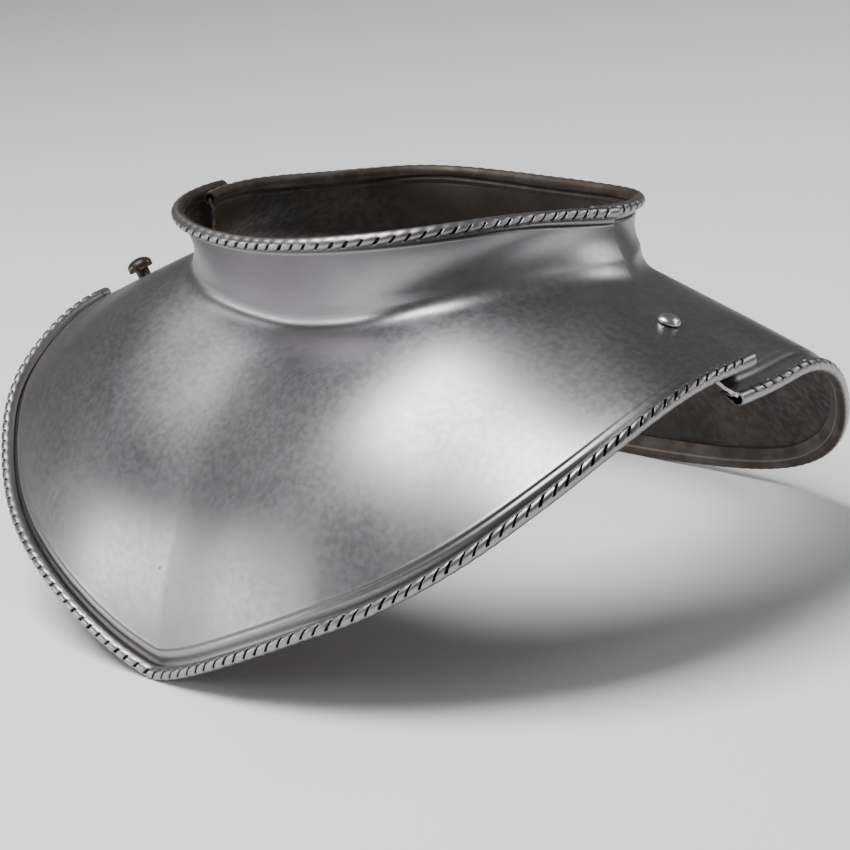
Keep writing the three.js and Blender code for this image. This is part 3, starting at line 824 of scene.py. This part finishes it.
@dataclass
class RolledEdge:
    """A rolled edge with roping filed across its outer side."""

    form: PlateForm
    place: Matrix
    at_border: bool
    slant: float
    hem: bool = False
    pitch: float = 5.3
    notch_half: float = 2.15
    notch_depth: float = 1.15
    notch_middle: float = 84.0
    notch_wall: Pair = (0.38, 0.74)
    notch_fade: float = 0.72
    spacing_spread: float = 0.16
    depth_spread: Pair = (0.72, 1.12)
    width_spread: Pair = (0.85, 1.2)
    lip_place: float = 1.0
    lip_width: float = 0.24
    lip_rise: float = 0.07
    swell: float = 0.1
    swell_from: float = -60.0
    end_margin: float = 3.2
    end_fade: float = 4.0
    rounding: float = 1.4
    wobble: float = 0.02
    wobble_length: float = 47.0

    # Places across one pitch, from the notch's middle, so that its walls are crisp
    CELL = (-1.9, -1.25, -0.92, -0.68, -0.42, 0.0, 0.42, 0.68, 0.92, 1.25, 1.9, 2.65)

    # Samples down the sheet, along it and along the eased line
    SAMPLES = (120, 1500, 3000)

    # The section's turns in degrees: the notched part, then the plain part, which a hem cuts short
    NOTCHED = (146.0, 34.0)
    PLAIN = (20.0, -200.0)
    HEM_START = 160.0
    HEM_END = -135.0
    HEM_TURN = -160.0
    ROUND_TO = -150.0

    # The raw underside fades in, and at the border out again, over these turns
    RAW_AT_NECK = (0.0, 40.0)
    RAW_AT_BORDER = (5.0, 45.0)
    RAW_STOPS = (125.0, 150.0)

    # An open end in metres: the curled sheet, its inner edge and the hollow's depth
    END_SHEET = 0.0007
    END_EDGE = 0.0002
    END_HOLLOW = 0.004
    SIDE_FACE = 8

    # The turned-in hem inside the back border, from the bead's middle: away from it and along the normal
    HEM = ((-2.6, -1.75), (-4.2, -0.95), (-5.6, -0.55), (-6.5, -0.4), (-6.75, 0.0), (-6.5, 0.5), (-3.6, 0.8))

    def path(self) -> tuple[Array, Array, Array, Array]:
        """The bead's middle line.

        Returns:
            Run along it, its points, the direction away from the sheet and the sheet's normal.
        """
        down, along, eased_count = self.SAMPLES
        points, normals = self.form.grid(np.linspace(0, 1, down)[:, None] * np.ones((1, along)))
        last = -1 if self.at_border else 0
        inner = -3 if self.at_border else 2
        proud = self.form.proud if self.at_border else 0.0
        normal = normals[last]
        away = points[last] - points[inner]
        away = unit(away - normal * np.sum(away * normal, axis=-1, keepdims=True))
        centre = points[last] + normal * proud
        run = np.concatenate(([0], np.cumsum(np.linalg.norm(np.diff(centre, axis=0), axis=-1))))
        even = np.linspace(0, run[-1], eased_count)
        spread = self.rounding / (even[1] - even[0])
        reach = int(4 * spread)
        weights = np.exp(-0.5 * (np.arange(-reach, reach + 1) / spread) ** 2)
        weights /= weights.sum()
        eased = []
        for line in (centre, away, normal):
            columns = []
            for k in range(3):
                value = np.interp(even, run, line[:, k])
                before = 2 * value[0] - value[reach:0:-1]
                after = 2 * value[-1] - value[-2:-reach - 2:-1]
                columns.append(np.convolve(np.concatenate((before, value, after)), weights, mode="valid"))
            eased.append(np.stack(columns, axis=-1))
        return even, eased[0], unit(eased[1]), unit(eased[2])

    def outline(self) -> tuple[Array, Array, Array, Array]:
        """The bead's cross-section.

        Returns:
            For each of its points the angle round the bead in degrees, where that counts, its place away
            and along the normal, and how raw it is.
        """
        notched = np.linspace(*self.NOTCHED, 17)
        if self.hem:
            lead = np.linspace(self.HEM_START, self.NOTCHED[0], 3)[:-1]
            turn = np.concatenate((lead, notched, np.linspace(self.PLAIN[0], self.HEM_END, 13)))
        else:
            turn = np.concatenate((notched, np.linspace(*self.PLAIN, 17)))
        away = BEAD_RADIUS * np.cos(np.radians(turn))
        out = BEAD_RADIUS * np.sin(np.radians(turn))
        if self.at_border:
            raw = smooth(-turn, *self.RAW_AT_BORDER) * (1 - smooth(-turn, *self.RAW_STOPS))
        else:
            raw = smooth(-turn, *self.RAW_AT_NECK)
        if self.hem:
            hem = np.array(self.HEM)
            turn = np.concatenate((turn, np.full(len(hem), self.HEM_TURN)))
            away = np.concatenate((away, hem[:, 0]))
            out = np.concatenate((out, hem[:, 1]))
            raw = np.concatenate((raw, np.ones(len(hem))))
        return turn, away, out, raw

    def build(self, name: str) -> Piece:
        """Returns the rolled edge as a new object."""
        run, centre, away, normal = self.path()
        length = run[-1]
        count = int((length - 2 * self.end_margin) / self.pitch)
        first = (length - (count - 1) * self.pitch) / 2
        dice = np.random.default_rng(7 if self.at_border else 11)
        middles = first + np.arange(count) * self.pitch + dice.normal(0, self.spacing_spread, count)
        depth = self.notch_depth * dice.uniform(*self.depth_spread, count)
        width = dice.uniform(*self.width_spread, count)
        stations = np.concatenate([[0.0], *[m + np.array(self.CELL) for m in middles], [length]])
        stations = np.unique(np.round(np.clip(stations, 0, length), 4))
        nearest = np.abs(stations[:, None] - middles[None, :]).argmin(axis=1)
        offset = np.abs(stations - middles[nearest]) / width[nearest]
        across = 1 - smooth(offset, *self.notch_wall)
        lip = bell(offset, self.lip_place, self.lip_width)
        turn, out_away, out_normal, raw = self.outline()
        arc = BEAD_RADIUS * np.radians(turn - self.notch_middle)
        along = 1 - smooth(np.abs(arc), self.notch_half * self.notch_fade, self.notch_half)
        cut = along[:, None] * (across * depth[nearest])[None, :]
        swell = self.swell * np.cos(2 * math.pi * (stations - middles[nearest]) / self.pitch + math.pi)
        round_part = (turn > self.ROUND_TO).astype(float)
        grow = 1 + (round_part[:, None] * swell[None, :] * smooth(turn, self.swell_from, 0)[:, None]
                    + self.lip_rise * along[:, None] * lip[None, :] - cut) / BEAD_RADIUS
        ends = smooth(np.minimum(stations, length - stations), 0.0, self.end_fade)
        lean = self.slant * BEAD_RADIUS * np.sin(np.radians(turn - self.notch_middle)) * round_part
        shear = lean[:, None] * ends[None, :]
        at = np.clip(stations[None, :] + shear, 0, length)
        spot = [
            np.stack([np.interp(at, run, line[:, k]) for k in range(3)], axis=-1)
            for line in (centre, away, normal)
        ]
        wobble = 1 + self.wobble * waves(stations, self.wobble_length, 3)[None, :]
        points = spot[0] + spot[1] * (out_away[:, None] * grow * wobble)[..., None]
        points = points + spot[2] * (out_normal[:, None] * grow * wobble)[..., None]
        points = np.concatenate((points, points[:1]))[::-1]
        piece = draped_grid(name, points, self.place)
        cut = np.concatenate((cut, cut[:1]))[::-1] / self.notch_depth
        grid_attribute(piece, "notch", cut)
        raw = np.concatenate((raw, raw[:1]))[::-1]
        grid_attribute(piece, "raw", np.broadcast_to(raw[:, None], cut.shape))
        self.close(piece)
        return piece

    def close(self, piece: Piece) -> None:
        """Joins the bead's long seam and closes its ends as a curled sheet with a hollow in it.

        Args:
            piece: the bead as a loose grid.
        """
        make_active(piece)
        bpy.ops.object.mode_set(mode="EDIT")
        bpy.ops.mesh.select_all(action="SELECT")
        bpy.ops.mesh.remove_doubles(threshold=0.000002)
        bpy.ops.mesh.select_all(action="DESELECT")
        bpy.ops.mesh.select_mode(type="EDGE")
        bpy.ops.mesh.select_non_manifold()
        bpy.ops.mesh.fill_holes(sides=0)
        bpy.ops.mesh.select_all(action="SELECT")
        bpy.ops.mesh.normals_make_consistent(inside=False)
        bpy.ops.mesh.select_mode(type="FACE")
        bpy.ops.mesh.select_all(action="DESELECT")
        bpy.ops.object.mode_set(mode="OBJECT")
        for face in piece.data.polygons:
            face.select = len(face.vertices) > self.SIDE_FACE
        bpy.ops.object.mode_set(mode="EDIT")
        bpy.ops.mesh.inset(thickness=self.END_SHEET, depth=0.0)
        bpy.ops.mesh.inset(thickness=self.END_EDGE, depth=-self.END_HOLLOW)
        bpy.ops.object.mode_set(mode="OBJECT")


def turned_piece(name: str, profile: list[Pair], seat: Matrix, sides: int = 48) -> Piece:
    """A turned piece, drawn up ring by ring from a disc.

    Args:
        name: the new object's name.
        profile: radius and height of each ring in millimetres, from the bottom up.
        seat: the matrix from millimetres in the seat to metres in the standing frame.
        sides: how many sides it has.

    Returns:
        The new object, in its place.
    """
    select_none()
    radius, height = profile[0]
    bpy.ops.mesh.primitive_circle_add(vertices=sides, radius=radius, fill_type="NGON", location=(0, 0, 0))
    piece = bpy.context.active_object
    piece.name = name
    bpy.ops.object.mode_set(mode="EDIT")
    bpy.ops.mesh.select_all(action="SELECT")
    bpy.ops.transform.translate(value=(0, 0, height))
    for next_radius, next_height in profile[1:]:
        bpy.ops.mesh.extrude_region_move(TRANSFORM_OT_translate={"value": (0, 0, next_height - height)})
        scale = next_radius / radius
        bpy.ops.transform.resize(value=(scale, scale, 1))
        radius, height = next_radius, next_height
    bpy.ops.mesh.select_all(action="SELECT")
    bpy.ops.mesh.normals_make_consistent(inside=False)
    bpy.ops.object.mode_set(mode="OBJECT")
    piece.data.transform(seat)
    return piece


def dome_profile(radius: float, base: float, rise: float, rings: int) -> list[Pair]:
    """Returns rings of a dome from its base to just under its top."""
    turns = [i / rings * math.pi / 2 for i in range(rings)] + [math.pi / 2 * 0.985]
    return [(radius * math.cos(t), base + rise * math.sin(t)) for t in turns]


@dataclass
class Seat:
    """A place on the front plate's outer face where a rivet or stud stands."""

    shell: Shell
    place: Matrix
    angle: float
    share: float

    def matrix(self, ahead: Vector) -> Matrix:
        """The seat's frame, Z along the sheet's normal.

        Args:
            ahead: the direction that X points in, as near as it can.

        Returns:
            A matrix from millimetres in the seat to metres in the standing frame.
        """
        def at(angle: float, share: float) -> Vector:
            return Vector(self.shell.plate(np.array([angle]), np.array([share]))[0])

        origin = at(self.angle, self.share)
        along = at(self.angle + 0.5, self.share) - at(self.angle - 0.5, self.share)
        down = at(self.angle, self.share + 0.01) - at(self.angle, self.share - 0.01)
        normal = down.cross(along).normalized()
        x = (ahead - normal * ahead.dot(normal)).normalized()
        y = normal.cross(x)
        basis = Matrix((x, y, normal)).transposed().to_4x4()
        basis.translation = origin
        return self.place @ basis


def stud_seat(shell: Shell, place: Matrix) -> Matrix:
    """The stud's seat, X pointing the way that the stud leaves its keyhole as the plates part.

    Args:
        shell: the form that it stands on.
        place: the matrix from the collar's frame to the standing frame.

    Returns:
        A matrix from millimetres in the seat to metres in the standing frame.
    """
    ahead = Vector((0, 1, 0))
    pivot = Seat(shell, place, *PIVOT_PLACE).matrix(ahead)
    seat = Seat(shell, place, *STUD_PLACE)
    travel = (seat.matrix(ahead).translation - pivot.translation).cross(pivot.col[2].to_3d())
    return seat.matrix((place.to_3x3().inverted() @ travel).normalized())


@dataclass
class Fastenings:
    """The pivot rivet and the closure stud."""

    shell: Shell
    place: Matrix
    under: float = -SHEET / 2 - PLATE_GAP - SHEET - 0.3
    over: float = SHEET / 2 + 0.3
    tail_radius: float = 3.6
    tail_rise: float = 1.1
    rivet_shank: float = 2.4
    rivet_head: float = 4.2
    rivet_rise: float = 2.2
    chamfer: float = 0.4
    stud_shank: float = 2.2
    stud_neck: float = 2.75
    stud_stand: float = 2.8
    stud_head: float = 5.2
    stud_rise: float = 3.1
    stud_seam: float = 0.2

    def tail(self) -> list[Pair]:
        """Returns the rings of a clenched end, from the bottom up."""
        rings = dome_profile(self.tail_radius, 0.0, self.tail_rise, 4)
        return [(r, self.under - h) for r, h in reversed(rings)]

    def rivet(self) -> Piece:
        """Returns the pivot rivet."""
        seat = Seat(self.shell, self.place, *PIVOT_PLACE).matrix(Vector((0, 1, 0)))
        profile = self.tail() + [(self.rivet_shank, self.under), (self.rivet_shank, self.over)]
        profile += [(self.rivet_head - self.chamfer, self.over), (self.rivet_head, self.over + self.chamfer)]
        profile += dome_profile(self.rivet_head, self.over + self.chamfer + 0.1, self.rivet_rise, 10)
        return turned_piece("rivet_head_and_shank", profile, seat)

    def stud(self) -> Piece:
        """Returns the closure stud."""
        base = SHEET / 2 + self.stud_stand
        foot = self.under + SHEET + 0.6
        head = self.stud_head
        seam = head - self.stud_seam
        profile = self.tail() + [(self.stud_shank, self.under), (self.stud_shank, foot)]
        profile += [(self.stud_neck, foot), (self.stud_neck, base)]
        profile += [(head - 0.5, base + 0.15), (head - 0.15, base + 0.5)]
        profile += [(head - 0.05, base + 1.2), (seam, base + 1.35), (seam, base + 1.55), (head, base + 1.7)]
        profile += dome_profile(head, base + 1.9, self.stud_rise, 10)[1:]
        return turned_piece("stud_head_and_neck", profile, stud_seat(self.shell, self.place))


@dataclass
class Plate:
    """One plate: its sheet and its two rolled edges."""

    form: PlateForm
    place: Matrix
    materials: dict[str, bpy.types.Material]
    keyhole_radius: float = 4.9
    keyhole_throat: float = 7.0
    keyhole_run: float = 30.0
    keyhole_depth: float = 12.0

    # How the notches lean on the neck roll and on the border roll
    SLANTS = {Side.FRONT: (-0.6, 0.75), Side.BACK: (0.3, -0.3)}

    def build(self) -> list[Piece]:
        """Returns the plate's pieces, dressed."""
        name = self.form.side.value
        front = self.form.side is Side.FRONT
        dress = [self.materials[key] for key in ("polished", "raw", "cut")]
        sheet = SheetPiece(self.form, self.place).build(f"{name}_sheet", dress)
        neck_slant, border_slant = self.SLANTS[self.form.side]
        neck = RolledEdge(self.form, self.place, False, neck_slant).build(f"{name}_neck_roll")
        outer = RolledEdge(self.form, self.place, True, border_slant, not front).build(f"{name}_border_roll")
        for roll in (neck, outer):
            roll.data.materials.append(self.materials["roped"])
        if front:
            self.cut_keyhole(sheet)
        pieces = [sheet, neck, outer]
        for piece in pieces:
            rest_on_floor(piece)
            make_active(piece)
            bpy.ops.object.shade_smooth_by_angle(angle=math.radians(40))
            finish_piece(piece, name, "plate_steel", f"{name}_plate")
        return pieces

    def cut_keyhole(self, sheet: Piece) -> None:
        """Cuts the stud's hole and its way out to the front plate's rear edge.

        Args:
            sheet: the front plate's sheet.
        """
        seat = stud_seat(self.form.shell, self.place)
        select_none()
        bpy.ops.mesh.primitive_cylinder_add(
            vertices=64, radius=self.keyhole_radius, depth=self.keyhole_depth, location=(0, 0, 0))
        hole = bpy.context.active_object
        size = (self.keyhole_run, self.keyhole_throat, self.keyhole_depth - 0.1)
        bpy.ops.mesh.primitive_cube_add(size=1, location=(self.keyhole_run / 2, 0, 0), scale=size)
        throat = bpy.context.active_object
        for cutter in (hole, throat):
            cutter.data.transform(seat @ cutter.matrix_basis)
            cutter.matrix_basis = Matrix()
            apply_modifier(sheet, "BOOLEAN", operation="DIFFERENCE", object=cutter, solver="EXACT")
            bpy.data.objects.remove(cutter)


@dataclass(frozen=True)
class View:
    """The camera, at the photograph's angle to the gorget."""

    spot: Triple = (0.69305, -0.63951, 0.36388)
    ahead: Triple = (-0.6909, 0.65149, -0.31349)
    up: Triple = (-0.1506, 0.29437, 0.94369)
    lens: float = 110.12

    def build(self) -> Piece:
        """Returns the scene's camera."""
        data = bpy.data.cameras.new("portrait")
        data.lens = self.lens
        data.sensor_width = 36.0
        data.clip_start = 0.01
        data.clip_end = 30.0
        camera = bpy.data.objects.new("portrait", data)
        bpy.context.scene.collection.objects.link(camera)
        back = -Vector(self.ahead).normalized()
        right = Vector(self.up).cross(back).normalized()
        up = back.cross(right)
        matrix = Matrix((right, up, back)).transposed().to_4x4()
        matrix.translation = Vector(self.spot)
        camera.matrix_world = matrix
        bpy.context.scene.camera = camera
        return camera


@dataclass
class Studio:
    """The pale floor, the soft lights and the dim room round them."""

    room: float = 0.14
    floor_colour: Triple = (0.94, 0.94, 0.94)

    def lamp(self, name: str, spot: Triple, aim: Triple,
             size: Pair, watts: float) -> None:
        """Adds one softbox.

        Args:
            name: its name.
            spot: where it hangs, in metres.
            aim: the point that it faces.
            size: its width and height in metres.
            watts: its power.
        """
        data = bpy.data.lights.new(name, "AREA")
        data.shape = "RECTANGLE"
        data.size, data.size_y = size
        data.energy = watts
        lamp = bpy.data.objects.new(name, data)
        bpy.context.scene.collection.objects.link(lamp)
        lamp.location = spot
        lamp.rotation_euler = (Vector(aim) - Vector(spot)).to_track_quat("-Z", "Y").to_euler()

    def build(self) -> None:
        """Lays the floor and hangs the lights."""
        select_none()
        bpy.ops.mesh.primitive_plane_add(size=16.0, location=(0, 0, 0))
        floor = bpy.context.active_object
        floor.name = "floor"
        n = Nodes("floor_paper")
        n.shader.inputs["Base Color"].default_value = (*self.floor_colour, 1.0)
        n.shader.inputs["Roughness"].default_value = 0.9
        floor.data.materials.append(n.material)
        world = bpy.data.worlds.new("room")
        world.use_nodes = True
        background = world.node_tree.nodes["Background"]
        background.inputs["Color"].default_value = (self.room, self.room, self.room, 1.0)
        bpy.context.scene.world = world
        self.lamp("overhead", (-0.24, -0.52, 1.55), (0, -0.05, 0.05), (0.85, 0.9), 42.0)
        self.lamp("low_left", (-1.2, -1.4, 0.35), (0, -0.05, 0.05), (0.7, 0.6), 9.0)
        self.lamp("back_right", (1.3, 0.95, 0.7), (0, 0, 0.08), (0.6, 0.8), 3.0)
        self.lamp("behind", (0.55, 1.4, 0.95), (0, 0, 0.08), (0.6, 0.45), 4.0)


FRONT_START = ((0.0, -70.0), (0.5, -90.0), (0.6, -97.0), (1.0, -98.0))
FRONT_STOP = ((0.0, 108.0), (1.0, 110.0))
BACK_START = ((0.0, 107.5), (0.52, 107.5), (0.67, 101.0), (0.78, 100.5), (1.0, 106.0))
BACK_STOP = ((0.0, 308.0), (0.5, 298.0), (0.75, 278.0), (1.0, 270.0))


def main() -> None:
    """Builds the gorget, its camera and its studio in order."""
    View().build()
    shell = Shell()
    place = stand_matrix(shell)
    materials = {
        "polished": PolishedSteel().material(),
        "roped": PolishedSteel(name="roped_steel", roped=True).material(),
        "raw": RAW_STEEL.material(),
        "cut": CUT_EDGE.material(),
    }
    front = PlateForm(Side.FRONT, shell, FRONT_START, FRONT_STOP, 0.0, BEAD_RADIUS - SHEET / 2)
    back = PlateForm(Side.BACK, shell, BACK_START, BACK_STOP, BACK_LAP, SHEET / 2 - BEAD_RADIUS)
    for form in (front, back):
        Plate(form, place, materials).build()
    fastenings = Fastenings(shell, place)
    rivet = fastenings.rivet()
    polished = PolishedSteel(name="rivet_steel", colour=(0.66, 0.65, 0.64), roughness=0.28)
    rivet.data.materials.append(polished.material())
    stud = fastenings.stud()
    stud.data.materials.append(STUD_STEEL.material())
    for piece, body, slot, node in (
        (rivet, "front", "rivet_steel", "pivot_rivet"),
        (stud, "back", "stud_steel", "closure_stud"),
    ):
        make_active(piece)
        bpy.ops.object.shade_smooth_by_angle(angle=math.radians(40))
        finish_piece(piece, body, slot, node)
    Studio().build()


if __name__ == "__main__":
    main()
